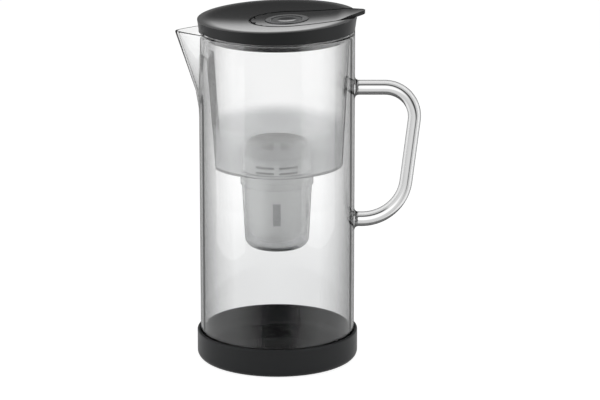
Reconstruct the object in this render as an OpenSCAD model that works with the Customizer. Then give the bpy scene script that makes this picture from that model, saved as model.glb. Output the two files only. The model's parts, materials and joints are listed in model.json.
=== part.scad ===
// Water filter pitcher: a glass jug in a grip boot, a clear hopper with an oblong filter
// cartridge, and a dished lid with a filling flap that lifts by its thumb tab.
// Frame: origin in the middle of the boot's underside, +Z up, +X towards the handle.
// All sizes are in millimetres.

/* [Jug] */
// Outer radius of the glass
jug_r = 60; // [56:0.5:74]
// Height of the glass rim above the table
jug_top = 260; // [236:1:320]
// Thickness of the glass wall
jug_wall = 2.6; // [2:0.1:3.2]
// Thickness of the glass floor
jug_floor = 4; // [3:0.5:8]
// Outer corner radius at the foot of the glass
jug_corner = 8; // [5:0.5:14]

/* [Spout] */
// How far the tip stands out from the wall
spout_reach = 18.3; // [12:0.1:24]
// Height of the spout below the rim
spout_drop = 63; // [50:1:72]
// Half the width of the spout where it leaves the rim
spout_half_w = 18; // [12:0.5:24]
// Rounding radius of the tip
spout_tip_r = 3; // [2:0.1:4]

/* [Handle] */
// Diameter of the glass rod in its arms
rod_d = 11.5; // [9:0.5:14]
// Diameter of the glass rod along the grip
grip_d = 10; // [8:0.5:14]
// Top arm's centre below the rim
top_arm_drop = 45; // [38:0.2:52]
// Distance between the centres of the two arms
arm_spread = 105; // [92:1:120]
// How far the grip's outer side stands out from the wall
handle_reach = 51; // [44:1:60]
// Lean of the grip from upright, in degrees
grip_lean = 7; // [3:0.5:9]
// Bend radius at the top, along the rod's centre
bend_top = 23; // [16:0.5:26]
// Bend radius at the bottom, along the rod's centre
bend_low = 34.5; // [20:0.5:36]
// Fillet radius where the rod meets the wall
foot_fillet = 3; // [1:0.5:4]

/* [Boot] */
// Thickness of the boot's wall
boot_wall = 2.3; // [1.6:0.1:4]
// Thickness of the boot's floor
boot_floor = 3.5; // [2:0.1:6]
// Height of the boot
boot_h = 22.3; // [14:0.1:32]
// Outer corner radius at the foot of the boot
boot_corner = 5; // [2:0.5:8]
// Gap between the glass and the boot's wall
boot_gap = 0.3; // [0.2:0.05:0.5]

/* [Hopper] */
// Thickness of the hopper's wall
hopper_wall = 1.8; // [1.4:0.1:2.2]
// Depth of the hopper's underside below the rim
hopper_drop = 104.7; // [90:0.1:120]
// Gap to the glass near the rim
hopper_gap = 1.2; // [0.8:0.1:1.6]
// How much the hopper narrows from the rim to its floor
hopper_draw = 5.4; // [3:0.1:6]
// Width of the pour channel at the hopper's floor
channel_low = 10.9; // [9:0.1:11.4]
// Width of the pour channel at its top
channel_top = 5.1; // [4:0.1:6]
// Height between the top of the pour channel's flat and the rim
channel_top_drop = 20; // [15:0.5:26]
// Thickness of the flange that lies on the glass rim
flange_t = 1.3; // [1:0.1:2]

/* [Cartridge] */
// Half the width of the cartridge's flange
cart_flange_r = 26; // [21.7:0.1:28]
// Distance from the middle to the centre of each round end
cart_c = 20.9; // [16:0.1:21.4]
// Thickness of the cartridge's flange
cart_flange_t = 6.5; // [4:0.5:8]
// Height of the dome above the flange
cart_dome = 12; // [9:0.5:16]
// Depth of the cartridge below the flange
cart_depth = 49; // [40:0.5:54]
// Step from the flange in to the body
cart_step = 1.4; // [1:0.1:2]
// How much the body narrows towards its foot, per side
cart_draw = 2.4; // [1:0.1:4]
// Wall of the cartridge
cart_wall = 1.6; // [1.2:0.1:2]
// Radius of the outlet nozzle
nozzle_r = 7.4; // [6:0.1:9]
// Gap between the cartridge and its cup
cart_gap = 0.3; // [0.25:0.05:0.5]

/* [Lid] */
// How far the lid's lower edge stands out past the glass
lid_over = 0; // [-1:0.1:2]
// How much wider the lid is at its rim
lid_flare = 1.4; // [0.4:0.1:3]
// Height of the rim's middle above the flange
lid_h = 9.8; // [8.6:0.1:14]
// Tilt of the rim, in degrees
lid_tilt = 1.95; // [0:0.05:2.4]
// Depth of the dish in the middle
dish_depth = 3.4; // [2:0.1:3.8]
// Thickness of the lid's top
lid_t = 2.5; // [2:0.1:3]
// Thickness of the lid's side band
band_t = 2; // [1.6:0.1:3]
// Depth of the liner's skirt below the flange
skirt_depth = 6.6; // [5:0.1:10]
// Gap between the soft ring and the hopper
seal_gap = 0.3; // [0.2:0.05:0.4]

/* [Flap] */
// Thickness of the flap
flap_t = 2.6; // [2.4:0.1:3]
// Middle of the flap's round end
flap_x = 7.5; // [4:0.5:10]
// Radius of the flap's round end
flap_r = 27.5; // [22.9:0.1:30]
// Radius of the flap's shoulder towards the tab
shoulder_r = 22.5; // [20:0.5:24]
// Radius of the thumb tab's nose
tab_r = 7; // [5:0.5:9]
// How far the tab stands out past the lid's rim
tab_out = 6.2; // [4:0.2:10]
// Rise of the tab above the dish
tab_rise = 1.3; // [0:0.1:2]
// Gap at the flap's sides
flap_gap = 0.4; // [0.3:0.05:0.6]
// Gap at the flap's round end
hinge_gap = 1.3; // [1.1:0.05:1.8]
// Radius of the hinge pins
pin_r = 0.75; // [0.6:0.05:0.8]
// Running clearance round a hinge pin
pin_clear = 0.05; // [0.02:0.01:0.08]

/* [Indicator] */
// Outer radius of the bezel
bezel_r = 16.4; // [13.7:0.1:17.4]
// Radius of the push button
button_r = 11.6; // [9:0.1:12]
// Travel of the button
button_travel = 0.6; // [0.4:0.05:0.8]
// Outer radius of the housing under the flap
housing_r = 15; // [14.4:0.1:15.6]
// Depth of the housing below the flap's surface
housing_depth = 12.2; // [11.8:0.1:14]
// Radius of the coin cell
cell_r = 10; // [8:0.5:10]
// Height of the coin cell
cell_h = 3.2; // [1.6:0.1:3.2]

/* [Hidden] */
$fn = 96;
// Long enough to cut right through any piece
far = 200;

// Jug and boot
jug_in = jug_r - jug_wall;
rim_round = 1.2;
boot_r = jug_r + boot_gap + boot_wall;
// Depth below the rim, reach and half width of each level of the spout, as shares of the whole
spout_levels = [[0, 1, 1], [0.5, 0.42, 0.8], [0.75, 0.14, 0.5], [1, 0, 0.14]];
spout_slice = 0.02;
// How far the wedge behind the spout's nose reaches into the jug
spout_root = 6;

// Handle
rod_r = rod_d / 2;
grip_r = grip_d / 2;
rod_sides = 32;
// How far the rod's root reaches into the glass wall that it is fused to
root_in = 1.5;
arm_top_z = jug_top - top_arm_drop;
arm_low_z = arm_top_z - arm_spread;
bend_top_x = jug_r + handle_reach - grip_r - bend_top;
bend_top_z = arm_top_z - bend_top;
// The grip starts at the top bend's end and runs down to the lower bend
grip_x0 = bend_top_x + bend_top * cos(grip_lean);
grip_z0 = bend_top_z - bend_top * sin(grip_lean);
bend_low_z = arm_low_z + bend_low;
grip_z1 = bend_low_z - bend_low * sin(grip_lean);
grip_x1 = grip_x0 - (grip_z0 - grip_z1) * tan(grip_lean);
bend_low_x = grip_x1 - bend_low * cos(grip_lean);

// Hopper
floor_low = jug_top - hopper_drop;
floor_top = floor_low + hopper_wall;
hopper_r_top = jug_in - hopper_gap;
hopper_r_low = hopper_r_top - hopper_draw;
flat_top_z = jug_top - channel_top_drop;
// How far the cut for the pour channel runs past the bowl
channel_over = 5;
seat_z = jug_top + flange_t;

// Cartridge and its cup: half widths of the oblong sections
collar_wall = 1.5;
cup_clear = 0.6;
flange_sunk = 0.5;
foot_clear = 4.5;
nozzle_out = 0.5;
cart_r = cart_flange_r - cart_step;
cart_r_low = cart_r - cart_draw;
recess_r = cart_flange_r + cart_gap;
collar_r = recess_r + collar_wall;
cup_in = cart_r + cup_clear;
cup_in_low = cart_r_low + cup_clear;
cart_seat_z = floor_top - cart_flange_t - flange_sunk;
cart_top_flange = cart_seat_z + cart_flange_t;
cart_foot_z = cart_seat_z - cart_depth;
cup_floor_top = cart_foot_z - foot_clear;
cup_floor_low = cup_floor_top - hopper_wall;
cup_corner = 8;
cart_corner = 12;
collar_h = 5;
collar_low_z = cart_seat_z - collar_h;
outlet_r = nozzle_r + cart_gap;
cap_inset = 0.8;
cap_r = cart_flange_r - cap_inset;
cap_top_z = cart_top_flange + cart_dome;
cap_corner = 4;
// Inside of the cartridge, and the half width of its hollow at a given height
cart_in_low = cart_r_low - cart_wall;
cart_in_top = cart_r - cart_wall;
cart_in_z = cart_foot_z + cart_wall;
cart_in_corner = cart_corner - cart_wall;
cart_in_top_z = cart_top_flange + 1;
cart_bend_z = cart_in_z + cart_in_corner;
fill_gap = 0.15;
function cart_in_r(z) = z < cart_bend_z
    ? cart_in_low - cart_in_corner + sqrt(pow(cart_in_corner, 2) - pow(cart_bend_z - z, 2))
    : cart_in_low + (cart_in_top - cart_in_low) * (z - cart_bend_z) / (cart_in_top_z - cart_bend_z);
screen_t = 1;
media_low_z = cart_in_z + 4;
media_top_z = cart_seat_z - 1.5;
grip_hole_r = 13;
grip_hole_depth = 7.5;
grip_bar_w = 5;
slot_w = 13.6;
slot_h = 1.7;
slot_rib = 4;
slot_pitch = 4.2;
slot_up = 0.9;
// Groove down each end of the cartridge
groove_w = 5.4;
groove_h = 15;
groove_low_z = cart_foot_z + 15.5;

// Lid: the rim's plane is tilted about the lid's middle, and the dish is part of a large ball
rim_z = seat_z + lid_h;
lid_r_low = jug_r + lid_over;
lid_r_top = lid_r_low + lid_flare;
lid_in = lid_r_low - band_t;
rim_land = 2;
dish_r = lid_r_low - rim_land;
ball_r = (dish_r * dish_r + dish_depth * dish_depth) / (2 * dish_depth);
ball_x = -(ball_r - dish_depth) * sin(lid_tilt);
ball_z = rim_z + (ball_r - dish_depth) * cos(lid_tilt);
ball_fn = 1440;
function dish_z(x) = ball_z - sqrt(ball_r * ball_r - (x - ball_x) * (x - ball_x));

// Liner and its soft ring
liner_t = 1.8;
hopper_mouth = hopper_r_top - hopper_wall;
seal_r = hopper_mouth - seal_gap;
skirt_r = seal_r - 0.9;
skirt_t = 1.8;
seal_drop = 4.4;
seal_h = 3;
seal_groove = 0.6;

// Flap and its hinge
tab_x = lid_r_top + tab_out - tab_r;
tab_len = 22.4;
shoulder_x = tab_x - tab_len;
tab_start = shoulder_x + 7;
tab_blend = 12;
seat_gap = 0.3;
ledge_w = 3.5;
hinge_x = flap_x - flap_r + 1.7;
hinge_z = dish_z(hinge_x) - flap_t / 2;
knuckle_half = 6.8;
shoulder_cut_x = hinge_x + 1.6;
pin_in = 1.5;
pin_out = 16;

// Indicator: its own frame stands square to the dish where the button's middle is
ind_x = flap_x + 0.2;
ind_z = dish_z(ind_x);
ind_tilt = asin((ind_x - ball_x) / ball_r);
// Clearance of a pressed-in piece
snug = 0.05;
bezel_up = 0.7;
bezel_down = 1;
button_gap = 0.3;
bezel_in = button_r + button_gap;
button_up = 0.4;
button_flange_r = bezel_in + 0.5;
button_flange_t = 0.8;
button_under = -bezel_down - 0.1;
neck_r = button_flange_r + 0.4;
housing_wall = 1.2;
board_drop = 2.6;
board_top = -flap_t - board_drop;
board_t = 1;
board_r = housing_r - housing_wall;
ledge_r = board_r - 1.3;
stem_r = 2;
switch_w = 5;
switch_h = 1.2;
key_r = 1.3;
key_h = 0.5;
// Gap left over the switch's key when the button is fully pressed
key_gap = 0.15;
clip_t = 0.3;
clip_w = 5;
cell_top = board_top - board_t - clip_t;
door_t = 1.2;
gasket_t = 0.6;
door_top = door_t - housing_depth;

// Points of an arc, for the rounded corners of turned profiles
function arc(cx, cz, r, from, to, n = 8) =
    [for (i = [0:n]) let (a = from + (to - from) * i / n) [cx + r * cos(a), cz + r * sin(a)]];

// A turned profile drawn out along Y: round ends at y = c and y = -c, straight sides between
module oblong(c) {
    for (side = [0, 1])
        mirror([0, side, 0]) translate([0, c, 0]) rotate_extrude(angle = 180) children();
    rotate([90, 0, 0]) linear_extrude(height = 2 * c, center = true) {
        children();
        mirror([1, 0]) children();
    }
}

// Profile of a tapered cup with a rounded foot
module cup_profile(r_low, r_top, z_low, z_top, corner) {
    polygon(concat([[0, z_low]], arc(r_low - corner, z_low + corner, corner, -90, 0),
        [[r_top, z_top], [0, z_top]]));
}

// Bowl of the dish, part of a large ball, turned about the tilted rim's own axis;
// a grown one leaves a shell of the same thickness everywhere
module dish_ball(grow) {
    translate([0, 0, rim_z]) rotate([0, -lid_tilt, 0]) rotate_extrude($fn = 192)
        intersection() {
            translate([0, ball_r - dish_depth]) circle(r = ball_r + grow, $fn = ball_fn);
            translate([0, -20]) square([lid_r_top + tab_out + 20, 80]);
        }
}

// Teardrop outline of the flap as one run of arcs, joined by their shared tangents;
// grow widens it, and end_grow widens the round end more
module teardrop(grow, end_grow) {
    end_x = flap_x - (end_grow - grow) / 2;
    end_r = flap_r + (end_grow + grow) / 2;
    lean_end = acos((end_r - shoulder_r - grow) / (shoulder_x - end_x));
    lean_tab = acos((shoulder_r - tab_r) / (tab_x - shoulder_x));
    polygon(concat(arc(tab_x, 0, tab_r + grow, -lean_tab, lean_tab, 16),
        arc(shoulder_x, 0, shoulder_r + grow, lean_tab, lean_end, 6),
        arc(end_x, 0, end_r, lean_end, 360 - lean_end, 48),
        arc(shoulder_x, 0, shoulder_r + grow, -lean_end, -lean_tab, 6)));
}

module teardrop_prism(grow, end_grow, z_low) {
    translate([0, 0, z_low]) linear_extrude(height = 40) teardrop(grow, end_grow);
}

module at_indicator() {
    translate([ind_x, 0, ind_z]) rotate([0, -ind_tilt, 0]) children();
}

// Plain disc or ring in the indicator's frame, from z_low to z_top
module ring(r_out, r_in, z_low, z_top) {
    difference() {
        translate([0, 0, z_low]) cylinder(h = z_top - z_low, r = r_out);
        translate([0, 0, z_low - 1]) cylinder(h = z_top - z_low + 2, r = r_in);
    }
}

module base_boot() {
    inner_r = jug_r + boot_gap;
    inner_corner = jug_corner + boot_gap;
    edge = boot_wall * 0.3;
    color("#26282a") rotate_extrude() polygon(concat(
        [[0, 0]], arc(boot_r - boot_corner, boot_corner, boot_corner, -90, 0),
        arc(boot_r - edge, boot_h - edge, edge, 0, 90, 4),
        arc(inner_r + edge, boot_h - edge, edge, 90, 180, 4),
        arc(inner_r - inner_corner, boot_floor + inner_corner, inner_corner, 0, -90),
        [[0, boot_floor]]));
}

// One level of the spout: a round nose and two points buried in the wall
module spout_level(level, inset) {
    reach = spout_reach * level[1];
    half_w = spout_half_w * level[2] - inset;
    nose_r = max(spout_tip_r - inset, 0.6);
    root_x = sqrt(jug_in * jug_in - half_w * half_w) - 1;
    translate([0, 0, jug_top - spout_drop * level[0]]) linear_extrude(height = spout_slice) {
        translate([-(jug_r + reach - inset - nose_r), 0]) circle(r = nose_r, $fn = 32);
        polygon([[-root_x, -half_w], [-root_x, half_w], [-jug_r + jug_wall + spout_root, 0]]);
    }
}

module spout_form(inset) {
    for (i = [0:len(spout_levels) - 2])
        hull() {
            spout_level(spout_levels[i], inset);
            spout_level(spout_levels[i + 1], inset);
        }
}

module glass_jug() {
    inner_corner = max(jug_corner - jug_wall, 2);
    inner_floor = boot_floor + jug_floor;
    color("#dfe7e8", 0.35) difference() {
        union() {
            rotate_extrude() polygon(concat([[0, boot_floor]],
                arc(jug_r - jug_corner, boot_floor + jug_corner, jug_corner, -90, 0),
                arc(jug_r - rim_round, jug_top - rim_round, rim_round, 0, 90, 4), [[0, jug_top]]));
            spout_form(0);
        }
        rotate_extrude() polygon(concat([[0, inner_floor]],
            arc(jug_in - inner_corner, inner_floor + inner_corner, inner_corner, -90, 0),
            [[jug_in, jug_top + 1], [0, jug_top + 1]]));
        translate([0, 0, 0.03]) spout_form(jug_wall);
        // Opens the top of the spout's channel
        translate([0, 0, jug_top]) cylinder(h = 5, r = jug_r + spout_reach + 5);
    }
}

// Rings along the rod: [x, z, lean of the ring's plane, radius]; the radius changes
// smoothly round a bend
function bend_rings(x, z, bend, from, to, r_from, r_to, n = 12) =
    [for (i = [1:n - 1]) let (t = i / n, a = from + (to - from) * t)
        [x + bend * cos(a), z + bend * sin(a), a, r_from + (r_to - r_from) * t * t * (3 - 2 * t)]];
function foot_rings(z, lean) =
    [for (i = [0:5]) let (a = 90 * i / 5)
        [jug_r + foot_fillet * (1 - cos(a)), z, lean, rod_r + foot_fillet * (1 - sin(a))]];
function reversed(list) = [for (i = [len(list) - 1:-1:0]) list[i]];

rod_rings = concat(
    [[jug_r - root_in, arm_top_z, 90, rod_r + foot_fillet]], foot_rings(arm_top_z, 90),
    [[bend_top_x, arm_top_z, 90, rod_r]],
    bend_rings(bend_top_x, bend_top_z, bend_top, 90, -grip_lean, rod_r, grip_r),
    [[grip_x0, grip_z0, -grip_lean, grip_r], [grip_x1, grip_z1, -grip_lean, grip_r]],
    bend_rings(bend_low_x, bend_low_z, bend_low, -grip_lean, -90, grip_r, rod_r),
    [[bend_low_x, arm_low_z, -90, rod_r]],
    reversed(foot_rings(arm_low_z, -90)),
    [[jug_r - root_in, arm_low_z, -90, rod_r + foot_fillet]]);

module glass_handle() {
    n = rod_sides;
    count = len(rod_rings);
    points = [for (ring = rod_rings) for (k = [0:n - 1])
        let (turn = 360 * k / n, out = ring[3] * cos(turn))
            [ring[0] + out * cos(ring[2]), ring[3] * sin(turn), ring[1] + out * sin(ring[2])]];
    sides = [for (i = [0:count - 2]) for (k = [0:n - 1])
        [i * n + k, i * n + (k + 1) % n, (i + 1) * n + (k + 1) % n, (i + 1) * n + k]];
    first = [for (k = [n - 1:-1:0]) k];
    last = [for (k = [0:n - 1]) (count - 1) * n + k];
    color("#dfe7e8", 0.5) polyhedron(points, concat([first], sides, [last]));
}

// Solid form of the hopper's bowl, moved in by inset on every side
module hopper_bowl(inset, z_low, z_top) {
    slope = hopper_draw / (jug_top - floor_low);
    r_low = hopper_r_low + (z_low - floor_low) * slope - inset;
    r_top = hopper_r_low + (z_top - floor_low) * slope - inset;
    flat_low_x = -(jug_in - channel_low) + inset;
    flat_top_x = -(jug_in - channel_top) + inset;
    difference() {
        translate([0, 0, z_low]) cylinder(h = z_top - z_low, r1 = r_low, r2 = r_top, $fn = 192);
        rotate([90, 0, 0]) linear_extrude(height = far, center = true) polygon([
            [flat_low_x, floor_low], [flat_top_x, flat_top_z],
            [flat_top_x - channel_top - channel_over, flat_top_z + channel_top + channel_over],
            [-far, flat_top_z + channel_top + channel_over], [-far, floor_low - channel_over],
            [flat_low_x, floor_low - channel_over]]);
    }
}

module hopper() {
    color("#9aa0a4", 0.45) difference() {
        union() {
            hopper_bowl(0, floor_low, jug_top);
            translate([0, 0, jug_top]) cylinder(h = flange_t, r = jug_r, $fn = 192);
            oblong(cart_c) cup_profile(cup_in_low + hopper_wall, cup_in + hopper_wall,
                cup_floor_low, cart_seat_z, cup_corner);
            oblong(cart_c) translate([0, collar_low_z])
                square([collar_r, floor_top - collar_low_z]);
        }
        hopper_bowl(hopper_wall, floor_top, seat_z + 1);
        oblong(cart_c) translate([0, cart_seat_z])
            square([recess_r, floor_top - cart_seat_z + 1]);
        oblong(cart_c) cup_profile(cup_in_low, cup_in, cup_floor_top, cart_seat_z + 0.1,
            cup_corner - hopper_wall);
        translate([0, 0, cup_floor_low - 1]) cylinder(h = hopper_wall + 2, r = outlet_r);
    }
}

module cartridge_body() {
    color("#f2f2f0") difference() {
        union() {
            oblong(cart_c) translate([0, cart_seat_z]) square([cart_flange_r, cart_flange_t]);
            oblong(cart_c) cup_profile(cart_r_low, cart_r, cart_foot_z, cart_seat_z + 0.1,
                cart_corner);
            translate([0, 0, cup_floor_low - nozzle_out])
                cylinder(h = cart_foot_z - cup_floor_low + nozzle_out + 1, r = nozzle_r);
        }
        oblong(cart_c) cup_profile(cart_in_low, cart_in_top, cart_in_z, cart_in_top_z,
            cart_in_corner);
        translate([0, 0, cup_floor_low - 2])
            cylinder(h = cart_foot_z - cup_floor_low + 5, r = nozzle_r - cart_wall);
        // The wall leans out, so the upright groove is deepest at its top
        for (end = [0, 1])
            mirror([0, end, 0]) translate([-groove_w / 2, cart_c + cart_r_low, groove_low_z])
                cube([groove_w, far, groove_h]);
    }
}

// A pair of inlet slots side by side at one end of the dome
module slot_pair(z) {
    for (side = [-1, 1])
        translate([side * (slot_w + slot_rib) / 2 - slot_w / 2, cart_c + cap_r - 12, z])
            cube([slot_w, 14, slot_h]);
}

module cartridge_cap() {
    cap_wall = cart_wall;
    pocket_floor = cap_top_z - grip_hole_depth;
    color("#f2f2f0") difference() {
        union() {
            difference() {
                oblong(cart_c) polygon(concat([[0, cart_top_flange], [cap_r, cart_top_flange]],
                    arc(cap_r - cap_corner, cap_top_z - cap_corner, cap_corner, 0, 90),
                    [[0, cap_top_z]]));
                oblong(cart_c) translate([0, cart_top_flange - 1])
                    square([cap_r - cap_wall, cart_dome + 1 - cap_wall]);
            }
            translate([0, 0, pocket_floor - cap_wall])
                cylinder(h = grip_hole_depth, r = grip_hole_r + cap_wall);
        }
        difference() {
            translate([0, 0, pocket_floor]) cylinder(h = grip_hole_depth + 1, r = grip_hole_r);
            translate([-grip_bar_w / 2, -far / 2, pocket_floor - 1])
                cube([grip_bar_w, far, grip_hole_depth + 1]);
        }
        for (end = [0, 1])
            mirror([0, end, 0])
                for (row = [0, 1])
                    slot_pair(cart_top_flange + slot_up + row * slot_pitch);
    }
}

// Oblong screen across the inside of the cartridge, with a grid of round holes
module screen(z) {
    pitch = 5;
    r = cart_in_r(z) - fill_gap;
    difference() {
        oblong(cart_c) translate([0, z]) square([r, screen_t]);
        for (i = [-3:3])
            for (j = [-7:7])
                if (norm([i * pitch, max(abs(j * pitch) - cart_c, 0)]) < r - 2.5)
                    translate([i * pitch, j * pitch, z - 1])
                        cylinder(h = screen_t + 2, r = 1, $fn = 16);
    }
}

module cartridge_top_screen() {
    color("#d8dadb") screen(media_top_z);
}

module cartridge_bottom_screen() {
    color("#d8dadb") screen(media_low_z - screen_t);
}

module filter_media() {
    steps = 5;
    zs = [for (i = [0:steps]) media_low_z + (cart_bend_z - media_low_z) * i / steps];
    color("#3a3530") oblong(cart_c)
        polygon(concat([[0, media_low_z]], [for (z = zs) [cart_in_r(z) - fill_gap, z]],
            [[cart_in_r(media_top_z) - fill_gap, media_top_z], [0, media_top_z]]));
}

module lid_cover() {
    flare_rate = lid_flare / lid_h;
    block_h = lid_h + 6;
    color("#3b3d3f") difference() {
        intersection() {
            translate([0, 0, seat_z])
                cylinder(h = block_h, r1 = lid_r_low, r2 = lid_r_low + block_h * flare_rate,
                    $fn = 192);
            translate([0, 0, rim_z]) rotate([0, -lid_tilt, 0]) translate([0, 0, -far / 2])
                cube(far, center = true);
        }
        dish_ball(0);
        difference() {
            translate([0, 0, seat_z - 1]) cylinder(h = block_h, r = lid_in, $fn = 192);
            dish_ball(lid_t);
        }
        intersection() {
            teardrop_prism(flap_gap, hinge_gap, seat_z - 2);
            union() {
                translate([0, 0, seat_z - 3]) cylinder(h = 45, r = lid_in - 0.01, $fn = 192);
                dish_ball(flap_t + seat_gap);
            }
        }
        for (side = [-1, 1]) hinge_bore(side, pin_r);
    }
}

// Straight bore along the hinge's axis on one side of the middle
module hinge_bore(side, r) {
    low = side > 0 ? pin_in - 0.5 : -pin_out;
    translate([hinge_x, low, hinge_z]) rotate([-90, 0, 0])
        cylinder(h = pin_out - pin_in + 0.5, r = r, $fn = 32);
}

module hinge_pins() {
    color("#b9bcbf")
        for (side = [0, 1])
            mirror([0, side, 0]) translate([hinge_x, pin_in, hinge_z]) rotate([-90, 0, 0])
                cylinder(h = pin_out - pin_in, r = pin_r, $fn = 32);
}

module lid_liner() {
    plate_top = seat_z + liner_t;
    well_x = hinge_x - 4.5;
    color("#2c2e30") difference() {
        union() {
            translate([0, 0, seat_z]) cylinder(h = liner_t, r = lid_in - 0.05, $fn = 192);
            translate([0, 0, seat_z - skirt_depth])
                cylinder(h = skirt_depth + liner_t, r = skirt_r, $fn = 192);
            // Ledge that the closed flap lies on
            difference() {
                teardrop_prism(ledge_w / 3, ledge_w / 3, seat_z);
                dish_ball(flap_t + seat_gap);
                translate([tab_start - 1, -far / 2, 0]) cube([far, far, far * 2]);
            }
        }
        // Inside of the skirt
        translate([0, 0, seat_z - skirt_depth - 1])
            cylinder(h = skirt_depth + 1, r = skirt_r - skirt_t, $fn = 192);
        // Filling hole
        intersection() {
            teardrop_prism(-ledge_w, -ledge_w, seat_z - 1);
            translate([0, 0, seat_z - 2]) cylinder(h = 40, r = skirt_r - skirt_t - 3, $fn = 192);
        }
        // Room for the flap's short tail behind the hinge
        translate([well_x, -knuckle_half - 10, seat_z - 1])
            cube([hinge_x + 6 - well_x, 2 * (knuckle_half + 10), 20]);
        // Groove for the soft ring
        translate([0, 0, seat_z - seal_drop - seal_h / 2])
            ring(skirt_r + 1, skirt_r - seal_groove, 0, seal_h);
    }
}

module lid_seal() {
    mid_z = seat_z - seal_drop;
    lip_r = seal_r;
    color("#161718") rotate_extrude($fn = 192) difference() {
        translate([skirt_r - seal_groove, mid_z - seal_h / 2])
            square([lip_r - skirt_r + seal_groove, seal_h]);
        for (side = [-1, 1])
            translate([lip_r + 0.4, mid_z + side * seal_h / 2]) circle(r = 0.9, $fn = 24);
    }
}

// Side view of the tab: the dish goes on, and rises smoothly above the rim
module tab_profile() {
    steps = 16;
    tip_x = tab_x + tab_r + 1;
    xs = [for (i = [0:steps]) tab_start + (tip_x - tab_start) * i / steps];
    ups = [for (x = xs) let (t = min((x - tab_start) / tab_blend, 1))
        dish_z(x) + tab_rise * t * t * (3 - 2 * t)];
    polygon(concat([for (i = [0:steps]) [xs[i], ups[i]]],
        [for (i = [steps:-1:0]) [xs[i], ups[i] - flap_t]]));
}

module flap() {
    color("#3b3d3f") difference() {
        union() {
            intersection() {
                teardrop_prism(0, 0, seat_z - 2);
                difference() {
                    dish_ball(flap_t);
                    dish_ball(0);
                }
                translate([-far, -far / 2, 0]) cube([far + tab_start, far, far * 2]);
            }
            intersection() {
                teardrop_prism(0, 0, seat_z - 2);
                rotate([90, 0, 0]) linear_extrude(height = far, center = true) tab_profile();
            }
        }
        // Corners beside the knuckle, so that they clear the cover as the flap opens
        for (side = [0, 1])
            mirror([0, side, 0]) translate([-far, knuckle_half, seat_z])
                cube([far + shoulder_cut_x, far, far]);
        for (side = [-1, 1]) hinge_bore(side, pin_r + pin_clear);
        at_indicator() {
            translate([0, 0, -bezel_down]) cylinder(h = 5, r = bezel_r + snug);
            translate([0, 0, -10]) cylinder(h = 12, r = neck_r);
        }
    }
}

module indicator_bezel() {
    color("#8f9498") at_indicator() difference() {
        ring(bezel_r, bezel_in, -bezel_down, bezel_up);
        // Sloped inner edge
        translate([0, 0, bezel_up - 0.6]) cylinder(h = 1.2, r1 = bezel_in, r2 = bezel_in + 1.2);
    }
}

module indicator_button() {
    stem_low = board_top + switch_h + key_h + button_travel + key_gap;
    dish = 60;
    color("#6d7276") at_indicator() {
        difference() {
            translate([0, 0, button_under]) cylinder(h = button_up - button_under, r = button_r);
            // Shallow finger dish
            translate([0, 0, dish + button_up - 0.5]) sphere(r = dish, $fn = 160);
        }
        translate([0, 0, button_under - button_flange_t])
            cylinder(h = button_flange_t, r = button_flange_r);
        translate([0, 0, stem_low])
            cylinder(h = button_under - button_flange_t - stem_low, r = stem_r, $fn = 32);
    }
}

module indicator_housing() {
    color("#2c2e30") difference() {
        at_indicator() difference() {
            translate([0, 0, door_top]) cylinder(h = housing_depth - door_t, r = housing_r);
            // Room for the battery, then for the board, with a ledge between them
            translate([0, 0, -housing_depth]) cylinder(h = housing_depth + board_top, r = ledge_r);
            translate([0, 0, board_top - board_t]) cylinder(h = 20, r = board_r);
        }
        // Only what lies below the flap stays
        dish_ball(flap_t);
    }
}

module indicator_board() {
    color("#1f6b3a") at_indicator() translate([0, 0, board_top - board_t])
        cylinder(h = board_t, r = board_r - snug);
}

module indicator_switch() {
    color("#202124") at_indicator() translate([0, 0, board_top]) {
        translate([-switch_w / 2, -switch_w / 2, 0]) cube([switch_w, switch_w, switch_h]);
        translate([0, 0, switch_h]) cylinder(h = key_h, r = key_r, $fn = 32);
    }
}

module coin_cell() {
    color("#c9ccce") at_indicator() translate([0, 0, cell_top - cell_h])
        cylinder(h = cell_h, r = cell_r);
}

module battery_clip() {
    tongue = 2.4;
    // A strap between the board and the cell, with a tongue down the cell's side
    color("#c8a24a") at_indicator() {
        translate([-cell_r, -clip_w / 2, cell_top]) cube([2 * cell_r + 0.8, clip_w, clip_t]);
        translate([cell_r + clip_t, -clip_w / 2, cell_top - tongue])
            cube([0.5, clip_w, tongue]);
    }
}

module indicator_gasket() {
    color("#161718") at_indicator() ring(housing_r, ledge_r, door_top - gasket_t, door_top);
}

module indicator_door() {
    slot_len = 12;
    color("#2c2e30") at_indicator() difference() {
        translate([0, 0, -housing_depth - gasket_t]) cylinder(h = door_t, r = housing_r);
        // Coin slot
        translate([-slot_len / 2, -1, -housing_depth - gasket_t - 1]) cube([slot_len, 2, 1.7]);
    }
}

base_boot();
glass_jug();
glass_handle();
hopper();
cartridge_body();
cartridge_cap();
cartridge_top_screen();
cartridge_bottom_screen();
filter_media();
lid_cover();
lid_liner();
lid_seal();
hinge_pins();
flap();
indicator_bezel();
indicator_button();
indicator_housing();
indicator_board();
indicator_switch();
coin_cell();
battery_clip();
indicator_gasket();
indicator_door();
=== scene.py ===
# %% [markdown]
# # A glass water filter pitcher with a flip lid
# This lesson gives a packed construction its looks. The construction comes in as a fixed
# frame of named pieces, in metres, with Z up and the origin under the middle of the boot.
# Each step below either gives one of those pieces a finish, or models a finer piece that
# stands in its place and moves with the same body.

import json
from math import cos, hypot, pi, radians, sin, sqrt, tan

import bmesh
import bpy
from mathutils import Matrix, Vector


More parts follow.
